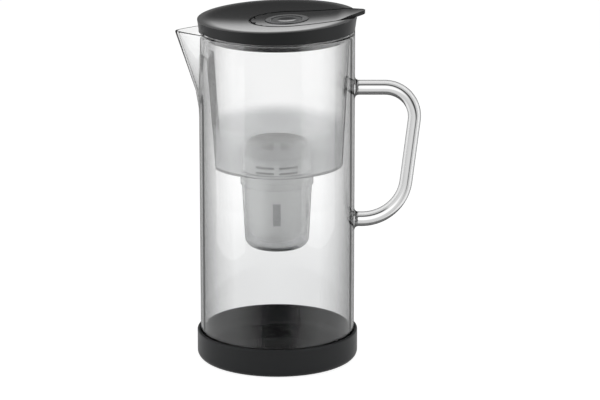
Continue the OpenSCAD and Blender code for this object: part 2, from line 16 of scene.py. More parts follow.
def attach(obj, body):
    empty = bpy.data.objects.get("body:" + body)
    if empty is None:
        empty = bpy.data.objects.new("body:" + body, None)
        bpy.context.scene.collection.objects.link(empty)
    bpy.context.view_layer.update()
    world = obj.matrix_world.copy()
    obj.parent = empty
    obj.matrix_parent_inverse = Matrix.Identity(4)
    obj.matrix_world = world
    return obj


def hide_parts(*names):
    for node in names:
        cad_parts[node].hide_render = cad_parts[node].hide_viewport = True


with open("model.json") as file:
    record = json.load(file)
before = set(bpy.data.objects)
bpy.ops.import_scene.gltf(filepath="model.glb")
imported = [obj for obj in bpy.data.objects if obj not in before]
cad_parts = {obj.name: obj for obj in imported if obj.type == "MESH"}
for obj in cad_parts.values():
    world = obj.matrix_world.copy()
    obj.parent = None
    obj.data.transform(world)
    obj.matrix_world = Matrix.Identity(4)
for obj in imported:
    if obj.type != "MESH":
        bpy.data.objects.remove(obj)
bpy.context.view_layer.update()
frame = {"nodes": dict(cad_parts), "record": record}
nodes = frame["nodes"]
scene = bpy.context.scene
scene.view_settings.view_transform = "Standard"
MM = 0.001

# %% [markdown]
# ## The camera
# The photograph was taken from in front of the pitcher and a little above it, with a long
# lens, so the upright edges stay nearly parallel. A camera 2.6 m away that tips down by
# about 15 degrees gives the same ovals at the lid and at the boot.

# %% Camera
CAMERA_PLACE = (0.01772, -2.52156, 0.81362)
CAMERA_TIP = radians(74.728)
LENS_MM = 202.02
SENSOR_MM = 36

camera_data = bpy.data.cameras.new("front_camera")
camera_data.lens = LENS_MM
camera_data.sensor_width = SENSOR_MM
camera_data.clip_end = 50
camera = bpy.data.objects.new("front_camera", camera_data)
camera.location = CAMERA_PLACE
camera.rotation_euler = (CAMERA_TIP, 0, 0)
scene.collection.objects.link(camera)
scene.camera = camera
print("camera is", round(Vector(CAMERA_PLACE).length, 2), "m from the pitcher's foot")

# %% [markdown]
# ## Small helpers for node trees
# A material here is a short list of nodes. These helpers add a node with its values set,
# and wire it up, so that each material below reads as a recipe.


# %% Node helpers
def add_node(tree, kind, inputs=(), **settings):
    node = tree.nodes.new(kind)
    for name, value in settings.items():
        setattr(node, name, value)
    for name, value in dict(inputs).items():
        if isinstance(value, bpy.types.NodeSocket):
            tree.links.new(value, node.inputs[name])
        else:
            node.inputs[name].default_value = value
    return node


def math_node(tree, operation, first, second=0.0, clamp=False):
    node = add_node(tree, "ShaderNodeMath", {0: first, 1: second}, operation=operation)
    node.use_clamp = clamp
    return node.outputs[0]


def mapped(tree, value, low, high, new_low=0.0, new_high=1.0, smooth=False):
    kind = "SMOOTHSTEP" if smooth else "LINEAR"
    inputs = {"Value": value, "From Min": low, "From Max": high,
              "To Min": new_low, "To Max": new_high}
    return add_node(tree, "ShaderNodeMapRange", inputs, interpolation_type=kind).outputs[0]


def mixed_colour(tree, share, first, second, blend="MIX"):
    node = add_node(tree, "ShaderNodeMix", data_type="RGBA", blend_type=blend)
    for socket, value in ((node.inputs[0], share), (node.inputs[6], first), (node.inputs[7], second)):
        if isinstance(value, bpy.types.NodeSocket):
            tree.links.new(value, socket)
        else:
            socket.default_value = value
    return node.outputs[2]


def object_coordinates(tree, stretch=(1, 1, 1)):
    place = add_node(tree, "ShaderNodeTexCoord").outputs["Object"]
    return add_node(tree, "ShaderNodeMapping", {"Vector": place, "Scale": stretch}).outputs[0]


def new_material(name):
    material = bpy.data.materials.new(name)
    material.use_nodes = True
    tree = material.node_tree
    tree.nodes.clear()
    return material, tree, add_node(tree, "ShaderNodeOutputMaterial")


def seen_directly(tree):
    """1 for the rays that draw the background: to the camera, off a gloss or through glass."""
    path = add_node(tree, "ShaderNodeLightPath")
    camera_or_gloss = math_node(tree, "MAXIMUM", path.outputs["Is Camera Ray"],
                                path.outputs["Is Glossy Ray"])
    return math_node(tree, "MAXIMUM", camera_or_gloss, path.outputs["Is Transmission Ray"])


# %% [markdown]
# ## Air, floor and lamps
# Glass shows what is around it, so the studio is built first. The air is white near the
# horizon and grey higher up: the lid's hollow top then shades from dark at the back to
# light at the front. The floor gives off a little light of its own where it is seen, which
# makes it white without more light on the pitcher, and it still takes the soft shadow.

# %% Air
BACKDROP_TOP = 0.11
LOW_AIR = 1.1
DARK_FROM = 0.245
HIGH_AIR = 0.14
AIR_LIGHT = 0.45

world = bpy.data.worlds.new("studio_air")
world.use_nodes = True
scene.world = world
air = world.node_tree
air.nodes.clear()
way = add_node(air, "ShaderNodeTexCoord").outputs["Generated"]
height = add_node(air, "ShaderNodeSeparateXYZ", {"Vector": way}).outputs["Z"]
seen_air = mapped(air, height, BACKDROP_TOP, DARK_FROM, LOW_AIR, HIGH_AIR, smooth=True)
lit_air = add_node(air, "ShaderNodeMix", {0: seen_directly(air), 2: AIR_LIGHT, 3: seen_air}, data_type="FLOAT")
to_camera = add_node(air, "ShaderNodeLightPath").outputs["Is Camera Ray"]
strength = add_node(air, "ShaderNodeMix", {0: to_camera, 2: lit_air.outputs[0], 3: 1.0}, data_type="FLOAT").outputs[0]
background = add_node(air, "ShaderNodeBackground", {"Color": (1, 1, 1, 1), "Strength": strength})
air.links.new(background.outputs[0], add_node(air, "ShaderNodeOutputWorld").inputs[0])

# %% Floor
FLOOR_SPREAD = 14
FLOOR_GLOW = 0.83
FLOOR_COLOUR = (0.42, 0.42, 0.42, 1)

floor_mesh = bmesh.new()
bmesh.ops.create_grid(floor_mesh, x_segments=4, y_segments=4, size=FLOOR_SPREAD)
bmesh.ops.translate(floor_mesh, verts=floor_mesh.verts, vec=(0, 0, -0.0002))
floor = bpy.data.objects.new("white_floor", bpy.data.meshes.new("white_floor"))
floor_mesh.to_mesh(floor.data)
floor_mesh.free()
scene.collection.objects.link(floor)
floor_paint, tree, output = new_material("white_paper")
glow = add_node(tree, "ShaderNodeEmission",
                {"Strength": math_node(tree, "MULTIPLY", seen_directly(tree), FLOOR_GLOW)})
paper = add_node(tree, "ShaderNodeBsdfDiffuse", {"Color": FLOOR_COLOUR})
both = add_node(tree, "ShaderNodeAddShader", {0: glow.outputs[0], 1: paper.outputs[0]})
tree.links.new(both.outputs[0], output.inputs["Surface"])
floor.data.materials.append(floor_paint)


# %% Lamps
def softbox(name, turn, distance, size, middle_height, radiance):
    """An upright softbox, turn degrees round from the camera's side, towards +X."""
    lamp = bpy.data.lights.new(name, "AREA")
    lamp.shape = "RECTANGLE"
    lamp.size, lamp.size_y = size
    lamp.energy = radiance * pi * size[0] * size[1]
    thing = bpy.data.objects.new(name, lamp)
    a = radians(turn)
    thing.location = (distance * sin(a), -distance * cos(a), middle_height)
    thing.rotation_euler = (radians(90), 0, a)
    thing.visible_camera = False
    thing.visible_transmission = False
    scene.collection.objects.link(thing)
    return thing


softbox("left_softbox", -70, 0.36, (0.34, 0.7), 0.35, 1.8)
softbox("right_softbox", 62, 0.40, (0.42, 0.7), 0.35, 1.45)


# %% [markdown]
# ## Glass
# Clear borosilicate has no colour of its own. What draws it are its edges, and these are
# painted shade: a ramp of greys darkens the tint where the surface turns away from the eye.
# Rays from lamps pass straight through, so that what stands behind glass is lit.


# %% Glass finish
PLAIN_TO = 0.03
GLOSS_FROM = 0.10
# Painted reflection: a thin dark line along the rod's upper and outer side, set by which way the surface faces.
PAINTED_LINE_SIDE = (0.7, 0, 0.7)
PAINTED_LINE_STOPS = ((0, 1), (0.026, 1), (0.040, 0.10), (0.080, 0.12), (0.105, 0.90), (0.30, 1), (1, 1))


def height_tint(low_z, high_z, low_colour, high_colour):
    """A tint that changes with the height on the piece, from low_colour to high_colour."""
    def made(tree):
        height = add_node(tree, "ShaderNodeSeparateXYZ", {"Vector": object_coordinates(tree)}).outputs["Z"]
        return mixed_colour(tree, mapped(tree, height, low_z, high_z, smooth=True), low_colour, high_colour)
    return made


def stepped_grey(tree, value, stops):
    """A ramp of greys through (place, lightness) stops."""
    ramp = add_node(tree, "ShaderNodeValToRGB", {"Fac": value})
    steps = ramp.color_ramp.elements
    for place, lightness in stops[1:-1]:
        steps.new(place).color = (lightness, lightness, lightness, 1)
    for end, (place, lightness) in ((0, stops[0]), (len(stops) - 1, stops[-1])):
        steps[end].position = place
        steps[end].color = (lightness, lightness, lightness, 1)
    return ramp.outputs["Color"]


def rod_painted_reflection(tree, turn):
    """A thin dark line painted along the upper and outer side of the rod: a painted reflection of a dark room that the
    scene doesn't have.
    """
    normal = add_node(tree, "ShaderNodeNewGeometry").outputs["Normal"]
    side = add_node(tree, "ShaderNodeVectorMath", {0: normal, 1: PAINTED_LINE_SIDE}, operation="DOT_PRODUCT").outputs["Value"]
    return mixed_colour(tree, mapped(tree, side, 0.05, 0.15), (1, 1, 1, 1), stepped_grey(tree, turn, PAINTED_LINE_STOPS))


def clear_finish(name, ior, dullness, tint, edge_shade_ramp, fog=None, shade_ramp_within=None, painted_line=None):
    """Glass or clear plastic: what faces the eye only bends light, and what turns away mirrors it too.
    A ramp of greys paints shade where the surface turns away. A second ramp, where given, paints the shade
    for rays that meet the surface from inside the glass, and a painted reflection line, where given,
    draws on the outside alone."""
    material, tree, output = new_material(name)
    turn = add_node(tree, "ShaderNodeLayerWeight", {"Blend": 0.5}).outputs["Facing"]
    # Painted shade: the greys darken the surface where it turns away from the eye.
    edges = stepped_grey(tree, turn, edge_shade_ramp)
    # A painted reflection line, where given, darkens the outside further.
    if painted_line:
        edges = mixed_colour(tree, 1.0, edges, painted_line(tree, turn), "MULTIPLY")
    # Painted shade for rays that meet the surface from inside the glass.
    if shade_ramp_within:
        behind = add_node(tree, "ShaderNodeNewGeometry").outputs["Backfacing"]
        edges = mixed_colour(tree, behind, edges, stepped_grey(tree, turn, shade_ramp_within))
    colour = mixed_colour(tree, 1.0, tint(tree), edges, "MULTIPLY")
    bent = {"Color": colour, "Roughness": dullness(tree) if callable(dullness) else dullness, "IOR": ior}
    plain = add_node(tree, "ShaderNodeBsdfRefraction", bent)
    glass = add_node(tree, "ShaderNodeBsdfGlass", bent)
    shader = add_node(tree, "ShaderNodeMixShader", {
        0: mapped(tree, turn, PLAIN_TO, GLOSS_FROM, smooth=True), 1: plain.outputs[0], 2: glass.outputs[0]})
    if fog:
        shader = fog(tree, shader)
    through = add_node(tree, "ShaderNodeBsdfTransparent", {"Color": tint(tree)})
    lamp_ray = add_node(tree, "ShaderNodeLightPath").outputs["Is Shadow Ray"]
    both = add_node(tree, "ShaderNodeMixShader", {0: lamp_ray, 1: shader.outputs[0], 2: through.outputs[0]})
    tree.links.new(both.outputs[0], output.inputs["Surface"])
    return material


# Ramps of painted shade for the jug: greys that darken the glass where it turns from the eye, and for rays from inside
# it a thin painted dark line.
OUTSIDE_EDGE_SHADE = ((0, 1), (0.2, 1), (0.4, 0.87), (0.6, 0.68), (0.8, 0.46), (1, 0.22))
INSIDE_EDGE_SHADE = ((0, 1), (0.2, 1), (0.4, 0.87), (0.6, 0.68), (0.80, 0.48), (0.87, 0.06), (1, 0.02))
WITHIN_EDGE_SHADE = ((0, 1), (0.254, 1), (0.260, 0.04), (0.270, 0.03), (0.274, 0.90), (1, 0.90))
# Painted light and shade on the rod: a bright middle, a grey body, a painted highlight band and a dark outline by how
# far the surface turns from the eye, and painted shade for rays from inside.
ROD_PAINTED_LIGHT_AND_SHADE = ((0, 1), (0.012, 1), (0.03, 0.66), (0.16, 0.64), (0.26, 0.95), (0.45, 0.92), (0.58, 0.45), (0.8, 0.30), (1, 0.2))
ROD_PAINTED_SHADE_WITHIN = ((0, 1), (0.01, 1), (0.06, 0.86), (0.20, 0.80), (0.26, 0.97), (1, 0.97))
jug_tint = height_tint(0.060, 0.150, (0.910, 0.912, 0.913, 1), (0.982, 0.983, 0.983, 1))
rod_tint = height_tint(0.05, 0.25, (0.985, 0.986, 0.986, 1), (0.985, 0.986, 0.986, 1))
jug_glass = clear_finish("jug_glass", 1.47, 0.0, jug_tint, OUTSIDE_EDGE_SHADE)
jug_inside = clear_finish("jug_inside", 1.47, 0.0, jug_tint, INSIDE_EDGE_SHADE, shade_ramp_within=WITHIN_EDGE_SHADE)
rod_glass = clear_finish("rod_glass", 1.47, 0.0, rod_tint, ROD_PAINTED_LIGHT_AND_SHADE, shade_ramp_within=ROD_PAINTED_SHADE_WITHIN, painted_line=rod_painted_reflection)
print("glass finishes", jug_glass.name, jug_inside.name, rod_glass.name)

# %% [markdown]
# ## Smoky plastic
# The hopper is moulded from a clear plastic that looks smokier and duller towards its
# floor and round the cartridge's cup. The tint deepens there, a thin haze scatters the
# light, and a satin gloss spreads the softboxes into the broad bands on the cup.

# %% Hopper finish
SMOKE_LOW, SMOKE_HIGH = 0.180, 0.193
LIGHTER_AT, DEEPEST_AT = 0.150, 0.178
HAZE_SHARE = 0.08
SATIN_SHARE = 0.17
DULL_LOW, DULL_HIGH = 0.18, 0.01
# Painted shade at the hopper's edges, darker where the surface turns away from the eye.
HOPPER_EDGE_SHADE = ((0, 1), (0.35, 1), (0.56, 0.955), (0.63, 0.93), (0.76, 0.90), (0.80, 0.86), (0.84, 0.18), (1, 0.05))


def smoke_depth(tree):
    """0 in the clear top of the hopper, 1 in its smoky foot."""
    height = add_node(tree, "ShaderNodeSeparateXYZ", {"Vector": object_coordinates(tree)}).outputs["Z"]
    return mapped(tree, height, SMOKE_HIGH, SMOKE_LOW, smooth=True)


def smoke_dullness(tree):
    return mapped(tree, smoke_depth(tree), 0, 1, DULL_HIGH, DULL_LOW)


def haze(tree, clear):
    depth = smoke_depth(tree)
    dull = add_node(tree, "ShaderNodeBsdfDiffuse", {"Color": (0.40, 0.41, 0.415, 1)})
    glowing = add_node(tree, "ShaderNodeBsdfTranslucent", {"Color": (0.40, 0.41, 0.415, 1)})
    fog = add_node(tree, "ShaderNodeMixShader", {0: 0.45, 1: dull.outputs[0], 2: glowing.outputs[0]})
    hazed = add_node(tree, "ShaderNodeMixShader", {
        0: math_node(tree, "MULTIPLY", depth, HAZE_SHARE), 1: clear.outputs[0], 2: fog.outputs[0]})
    satin = add_node(tree, "ShaderNodeBsdfGlossy", {"Color": (0.9, 0.9, 0.9, 1), "Roughness": 0.3})
    return add_node(tree, "ShaderNodeMixShader", {
        0: math_node(tree, "MULTIPLY", depth, SATIN_SHARE), 1: hazed.outputs[0], 2: satin.outputs[0]})


def smoke_tint(tree):
    """Clear at the top, deepest just under the smoke line and lighter again towards the cup."""
    height = add_node(tree, "ShaderNodeSeparateXYZ", {"Vector": object_coordinates(tree)}).outputs["Z"]
    foot = height_tint(LIGHTER_AT, DEEPEST_AT, (0.940, 0.944, 0.946, 1), (0.845, 0.849, 0.852, 1))(tree)
    return mixed_colour(tree, mapped(tree, height, SMOKE_LOW, SMOKE_HIGH, smooth=True), foot, (0.985, 0.985, 0.985, 1))


smoke_plastic = clear_finish("smoke_plastic", 1.49, smoke_dullness, smoke_tint, HOPPER_EDGE_SHADE, haze)


# %% [markdown]
# ## Moulded plastic, rubber and metal
# The other pieces are opaque. One recipe serves them all: a fine grain in the surface, a
# slow unevenness in colour and gloss, and edges that handling has rubbed a little lighter.
# Pointiness finds the edges, which works because the pieces have small rounded ones.

# %% Moulded finish
RUBBED_FROM, RUBBED_TO = 0.53, 0.60


def moulded_finish(name, colour, roughness, grain_size=0.0004, grain=0.02, metallic=0.0,
                   specular=0.5, ior=1.5, rubbed=0.25):
    """Moulded plastic, rubber or plain metal: fine grain, uneven gloss and rubbed edges."""
    material, tree, output = new_material(name)
    place = object_coordinates(tree)
    fine = add_node(tree, "ShaderNodeTexNoise",
                    {"Vector": place, "Scale": 1 / grain_size, "Detail": 3}).outputs["Fac"]
    broad = add_node(tree, "ShaderNodeTexNoise",
                     {"Vector": place, "Scale": 60, "Detail": 2}).outputs["Fac"]
    scuffs = add_node(tree, "ShaderNodeTexNoise",
                      {"Vector": place, "Scale": 420, "Detail": 5, "Roughness": 0.7}).outputs["Fac"]
    point = add_node(tree, "ShaderNodeNewGeometry").outputs["Pointiness"]
    edge = math_node(tree, "MULTIPLY", mapped(tree, point, RUBBED_FROM, RUBBED_TO), mapped(tree, scuffs, 0.35, 0.65))
    darker = tuple(c * 0.93 for c in colour[:3]) + (1,)
    lighter = tuple(c + rubbed * (0.5 - c) * 0.2 for c in colour[:3]) + (1,)
    plain = mixed_colour(tree, broad, darker, colour)
    gloss = mapped(tree, broad, 0.3, 0.7, roughness * 0.92, roughness * 1.08)
    bump = add_node(tree, "ShaderNodeBump",
                    {"Height": fine, "Strength": grain * 10, "Distance": 0.00002})
    shader = add_node(tree, "ShaderNodeBsdfPrincipled", {
        "Base Color": mixed_colour(tree, edge, plain, lighter),
        "Roughness": mapped(tree, edge, 0, 1, gloss, min(1, roughness * 1.5)),
        "Metallic": metallic, "Specular IOR Level": specular, "IOR": ior,
        "Normal": bump.outputs[0]})
    tree.links.new(shader.outputs[0], output.inputs["Surface"])
    return material


finishes = {
    "boot_rubber": moulded_finish("boot_rubber", (0.030, 0.031, 0.032, 1), 0.42, grain=0.03, ior=1.16),
    "jug_glass": jug_glass,
    "jug_inside": jug_inside,
    "rod_glass": rod_glass,
    "smoke_plastic": smoke_plastic,
    "white_plastic": moulded_finish("white_plastic", (0.72, 0.72, 0.71, 1), 0.42),
    # A lighter copy of the white plastic for the cartridge's cap: painted light, where the cap sits in the shade under
    # the lid.
    "cap_painted_light": moulded_finish("cap_painted_light", (0.86, 0.86, 0.85, 1), 0.42),
    # Painted shade for the grooves down the cartridge's ends.
    "groove_shade": moulded_finish("groove_shade", (0.16, 0.165, 0.17, 1), 0.4),
    "screen_plastic": moulded_finish("screen_plastic", (0.62, 0.63, 0.64, 1), 0.5),
    "filter_grain": moulded_finish("filter_grain", (0.05, 0.045, 0.04, 1), 0.8, 0.0011, 0.5),
    "lid_plastic": moulded_finish("lid_plastic", (0.012, 0.0125, 0.013, 1), 0.09, grain=0.004, specular=0.4),
    "lid_band": moulded_finish("lid_band", (0.024, 0.0245, 0.025, 1), 0.36, ior=1.14),
    "liner_plastic": moulded_finish("liner_plastic", (0.010, 0.0105, 0.011, 1), 0.06, grain=0.004, specular=1.0),
    "seal_rubber": moulded_finish("seal_rubber", (0.016, 0.016, 0.017, 1), 0.6),
    "pin_steel": moulded_finish("pin_steel", (0.55, 0.56, 0.57, 1), 0.3, metallic=1.0),
    "bezel_metal": moulded_finish("bezel_metal", (0.11, 0.114, 0.118, 1), 0.13, metallic=0.9),
    "button_plastic": moulded_finish("button_plastic", (0.03, 0.032, 0.034, 1), 0.09),
    "board_green": moulded_finish("board_green", (0.02, 0.12, 0.05, 1), 0.35),
    "switch_black": moulded_finish("switch_black", (0.02, 0.02, 0.02, 1), 0.3),
    "cell_steel": moulded_finish("cell_steel", (0.6, 0.61, 0.62, 1), 0.25, metallic=1.0),
    "clip_brass": moulded_finish("clip_brass", (0.62, 0.45, 0.16, 1), 0.3, metallic=1.0),
}
slots = {s["node"]: s["material_slot"] for s in frame["record"]["subparts"]}
for name, thing in nodes.items():
    thing.data.materials.clear()
    thing.data.materials.append(finishes[slots[name]])
print(len(finishes), "finishes for", len(slots), "pieces")


# %% [markdown]
# ## Turning and sweeping
# Most of the pitcher is round, so it is made as a potter makes a pot: one outline is drawn
# on the X-Z plane and spun about the Z axis.


# %% Mesh helpers
def arc_points(cx, cz, r, start, end, steps=8):
    turns = [radians(start + (end - start) * i / steps) for i in range(steps + 1)]
    return [(cx + r * cos(a), cz + r * sin(a)) for a in turns]


def outline(mesh, points):
    """An open run of edges through (x, z) points in millimetres."""
    corners = [mesh.verts.new((x * MM, 0, z * MM)) for x, z in points]
    return corners, [mesh.edges.new(pair) for pair in zip(corners, corners[1:])]


def piece_from(mesh, name, body, slot, replaced, more=(), sharp=35):
    """Turns a bmesh into a finished piece that rides on a body and stands for CAD nodes."""
    data = bpy.data.meshes.new(name)
    mesh.to_mesh(data)
    mesh.free()
    data.shade_smooth()
    data.set_sharp_from_angle(angle=radians(sharp))
    piece = bpy.data.objects.new(name, data)
    scene.collection.objects.link(piece)
    for finish in (slot, *more):
        data.materials.append(finishes[finish])
    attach(piece, body)
    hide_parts(*replaced)
    print(name, len(data.polygons), "faces")
    return piece


# %% [markdown]
# ## Jug and handle
# The jug is blown glass: its wall is one spun outline, its floor is slightly domed, as the
# glass blower leaves it, and its spout is pulled out of the wall, so here the same wall is
# pushed out by a height and width that fade away. The rod of the handle is swept along its
# path and fused to the wall, and then glass has no surface between the two.

# %% Jug
JUG_R, JUG_TOP, JUG_WALL = 60.0, 260.0, 2.6
JUG_LOW, JUG_FLOOR, JUG_CORNER = 3.5, 4.0, 8.0
FLOOR_DOME = 3.5
SPOUT_DROP, SPOUT_REACH, SPOUT_HALF = 63.0, 18.3, 18.0
SPOUT_NOSE = 2.4
SPOUT_BLEND = 1.6
GLASS_LOOKS = ("jug_glass", "jug_inside", "rod_glass")


def steps_between(low, high, size):
    count = max(1, round(abs(high - low) / size))
    return [low + (high - low) * i / count for i in range(1, count)]


def wall_heights(low, high):
    return steps_between(low, JUG_TOP - SPOUT_DROP, 5) + steps_between(JUG_TOP - SPOUT_DROP, high, 2)


def share_at(depth, table):
    for (d0, v0), (d1, v1) in zip(table, table[1:]):
        if depth <= d1:
            return v0 + (v1 - v0) * (depth - d0) / (d1 - d0)
    return table[-1][1]


SPOUT_REACHES = ((0, 1), (0.5, 0.42), (0.75, 0.14), (1, 0))
SPOUT_WIDTHS = ((0, 1), (0.5, 0.8), (0.75, 0.5), (1, 0.14))


def spout_push(y, z):
    """How far the wall is pulled out to -X at that y and z, in millimetres."""
    depth = (JUG_TOP - z) / SPOUT_DROP
    if depth >= 1:
        return 0.0
    reach = SPOUT_REACH * share_at(depth, SPOUT_REACHES)
    half = SPOUT_HALF * share_at(depth, SPOUT_WIDTHS)
    slope = reach / half
    straight = reach - slope * (hypot(y, SPOUT_NOSE) - SPOUT_NOSE)
    blend = SPOUT_BLEND * min(1, reach / 4)
    return (straight + hypot(straight, blend)) / 2 - (hypot(reach, blend) - reach) / 2


def jug_mesh():
    inner = JUG_R - JUG_WALL
    inner_corner = JUG_CORNER - JUG_WALL
    floor_top = JUG_LOW + JUG_FLOOR
    lip = JUG_WALL / 2
    outer_side = wall_heights(JUG_LOW + JUG_CORNER, JUG_TOP - lip)
    inner_side = wall_heights(floor_top + inner_corner, JUG_TOP - lip)[::-1]
    points = [(x, JUG_LOW) for x in (0, 6, 14, 26, 40)]
    points += arc_points(JUG_R - JUG_CORNER, JUG_LOW + JUG_CORNER, JUG_CORNER, -90, 0, 12)
    points += [(JUG_R, z) for z in outer_side]
    points += arc_points(JUG_R - lip, JUG_TOP - lip, lip, 0, 180, 10)
    points += [(inner, z) for z in inner_side]
    points += arc_points(inner - inner_corner, floor_top + inner_corner, inner_corner, 0, -90, 12)
    dome_r = inner - inner_corner
    points += [(x, floor_top + FLOOR_DOME * (1 - (x / dome_r) ** 2) ** 2) for x in range(50, -1, -2)]
    mesh = bmesh.new()
    ring, edges = outline(mesh, points)
    turns = ((radians(360 - 52), 132), (radians(52), 104))
    bmesh.ops.rotate(mesh, verts=mesh.verts, matrix=Matrix.Rotation(radians(180 + 26), 3, "Z"))
    geometry = ring + edges
    for turn, count in turns:
        made = bmesh.ops.spin(mesh, geom=geometry, cent=(0, 0, 0), axis=(0, 0, 1),
                              angle=turn, steps=count, use_merge=False)
        geometry = made["geom_last"]
    bmesh.ops.remove_doubles(mesh, verts=mesh.verts, dist=1e-6)
    bmesh.ops.recalc_face_normals(mesh, faces=mesh.faces)
    for face in mesh.faces:
        middle = face.calc_center_median()
        if middle.z > floor_top * MM and hypot(middle.x, middle.y) < (inner + 0.2) * MM:
            face.material_index = GLASS_LOOKS.index("jug_inside")
    for corner in mesh.verts:
        if corner.co.x < 0:
            corner.co.x -= spout_push(corner.co.y / MM, corner.co.z / MM) * MM
    return mesh


# %% Handle
ROD_R, GRIP_R = 5.75, 5.0
ROD_SIDES = 48
ARM_TOP, ARM_SPREAD, HANDLE_REACH, GRIP_LEAN = 215.0, 105.0, 51.0, 7.0
BEND_TOP, BEND_LOW, FOOT_FILLET, ROOT_IN = 23.0, 34.5, 3.0, 1.5


def swept_ring(mesh, ring, step=(0, 0, 0), turn=0.0, centre=(0, 0, 0), grow=1.0):
    """Extrudes a ring of edges, then moves, turns and grows the new ring."""
    made = bmesh.ops.extrude_edge_only(mesh, edges=ring)["geom"]
    corners = [g for g in made if isinstance(g, bmesh.types.BMVert)]
    middle = sum((v.co for v in corners), Vector()) / len(corners)
    bmesh.ops.scale(mesh, verts=corners, vec=(grow, grow, grow), space=Matrix.Translation(-middle))
    bmesh.ops.rotate(mesh, verts=corners, cent=centre, matrix=Matrix.Rotation(turn, 3, "Y"))
    bmesh.ops.translate(mesh, verts=corners, vec=step)
    return [g for g in made if isinstance(g, bmesh.types.BMEdge) and all(v in corners for v in g.verts)]


def handle_mesh():
    lean = radians(GRIP_LEAN)
    arm_low = ARM_TOP - ARM_SPREAD
    bend_x = JUG_R + HANDLE_REACH - GRIP_R - BEND_TOP
    grip_x0, grip_z0 = bend_x + BEND_TOP * cos(lean), ARM_TOP - BEND_TOP - BEND_TOP * sin(lean)
    grip_z1 = arm_low + BEND_LOW - BEND_LOW * sin(lean)
    grip_x1 = grip_x0 - (grip_z0 - grip_z1) * tan(lean)
    low_x = grip_x1 - BEND_LOW * cos(lean)
    mesh = bmesh.new()
    start = JUG_R - ROOT_IN
    made = bmesh.ops.create_circle(mesh, cap_ends=False, segments=ROD_SIDES, radius=(ROD_R + FOOT_FILLET) * MM)
    bmesh.ops.rotate(mesh, verts=made["verts"], matrix=Matrix.Rotation(radians(90), 3, "Y"))
    bmesh.ops.translate(mesh, verts=made["verts"], vec=(start * MM, 0, ARM_TOP * MM))
    ring = list(mesh.edges)

    def along(x_from, z_from, x_to, z_to, size=5.0):
        nonlocal ring
        count = max(1, round(hypot(x_to - x_from, z_to - z_from) / size))
        step = Vector((x_to - x_from, 0, z_to - z_from)) * MM / count
        for _ in range(count):
            ring = swept_ring(mesh, ring, step)

    def bend(x, z, turn, r_from, r_to, count=24):
        """A bend in which the rod also grows from one radius to another."""
        nonlocal ring
        shares = [t * t * (3 - 2 * t) for t in (i / count for i in range(count + 1))]
        sizes = [r_from + (r_to - r_from) * share for share in shares]
        for now, then in zip(sizes, sizes[1:]):
            ring = swept_ring(mesh, ring, turn=turn / count, centre=(x * MM, 0, z * MM), grow=then / now)

    def flare(x_step_sign, outward):
        """A quarter-round foot, where the rod widens to meet the wall."""
        nonlocal ring
        turns = [radians(15 * i) for i in range(7)]
        if not outward:
            turns.reverse()
        for a, b in zip(turns, turns[1:]):
            now, then = (ROD_R + FOOT_FILLET * (1 - sin(t)) for t in (a, b))
            move = FOOT_FILLET * abs(cos(a) - cos(b)) * x_step_sign
            ring = swept_ring(mesh, ring, Vector((move * MM, 0, 0)), grow=then / now)

    along(start, ARM_TOP, JUG_R, ARM_TOP)
    flare(1, True)
    along(JUG_R + FOOT_FILLET, ARM_TOP, bend_x, ARM_TOP)
    bend(bend_x, ARM_TOP - BEND_TOP, radians(90 + GRIP_LEAN), ROD_R, GRIP_R)
    along(grip_x0, grip_z0, grip_x1, grip_z1)
    bend(low_x, arm_low + BEND_LOW, radians(90 - GRIP_LEAN), GRIP_R, ROD_R)
    along(low_x, arm_low, JUG_R + FOOT_FILLET, arm_low)
    flare(-1, False)
    along(JUG_R, arm_low, start, arm_low)
    bmesh.ops.holes_fill(mesh, edges=[e for e in mesh.edges if e.is_boundary], sides=0)
    bmesh.ops.recalc_face_normals(mesh, faces=mesh.faces)
    for face in mesh.faces:
        face.material_index = GLASS_LOOKS.index("rod_glass")
    return mesh


def object_from(mesh, name, looks=()):
    data = bpy.data.meshes.new(name)
    mesh.to_mesh(data)
    mesh.free()
    for look in looks:
        data.materials.append(finishes[look])
    thing = bpy.data.objects.new(name, data)
    scene.collection.objects.link(thing)
    return thing


def joined(first, second, operation="UNION"):
    """The first object's mesh after the second is fused to it or cut from it."""
    change = first.modifiers.new("join", "BOOLEAN")
    change.operation = operation
    change.solver = "EXACT"
    change.object = second
    made = bmesh.new()
    made.from_object(first, bpy.context.evaluated_depsgraph_get())
    for thing in (first, second):
        data = thing.data
        bpy.data.objects.remove(thing)
        bpy.data.meshes.remove(data)
    return made


whole_glass = joined(object_from(jug_mesh(), "jug_wall", GLASS_LOOKS), object_from(handle_mesh(), "rod", GLASS_LOOKS))
bmesh.ops.remove_doubles(whole_glass, verts=whole_glass.verts, dist=2e-6)
piece_from(whole_glass, "jug_with_handle", "jug", GLASS_LOOKS[0], ["glass_jug", "glass_handle"], GLASS_LOOKS[1:])

# %% [markdown]
# ## Softened pieces
# The opaque pieces already have the right shape, but their edges are knife sharp, and a
# moulded edge never is: it catches the light in a thin line. Each piece below is a copy of
# its construction mesh, merged into one skin, whose sharp edges get a small rounded bevel.

# %% Softening
SHARP_FROM = radians(40)


def skin_of(node):
    """A merged copy of a node's mesh."""
    mesh = bmesh.new()
    mesh.from_mesh(nodes[node].data)
    bmesh.ops.remove_doubles(mesh, verts=mesh.verts, dist=2e-6)
    bmesh.ops.dissolve_limit(mesh, angle_limit=radians(0.3), verts=mesh.verts, edges=mesh.edges)
    return mesh


def even(piece):
    """Lets the large faces set the normals, so that only the rounded edges show a gradient."""
    change = piece.modifiers.new("even_normals", "WEIGHTED_NORMAL")
    change.mode = "FACE_AREA"
    change.weight = 100
    change.keep_sharp = True
    return piece


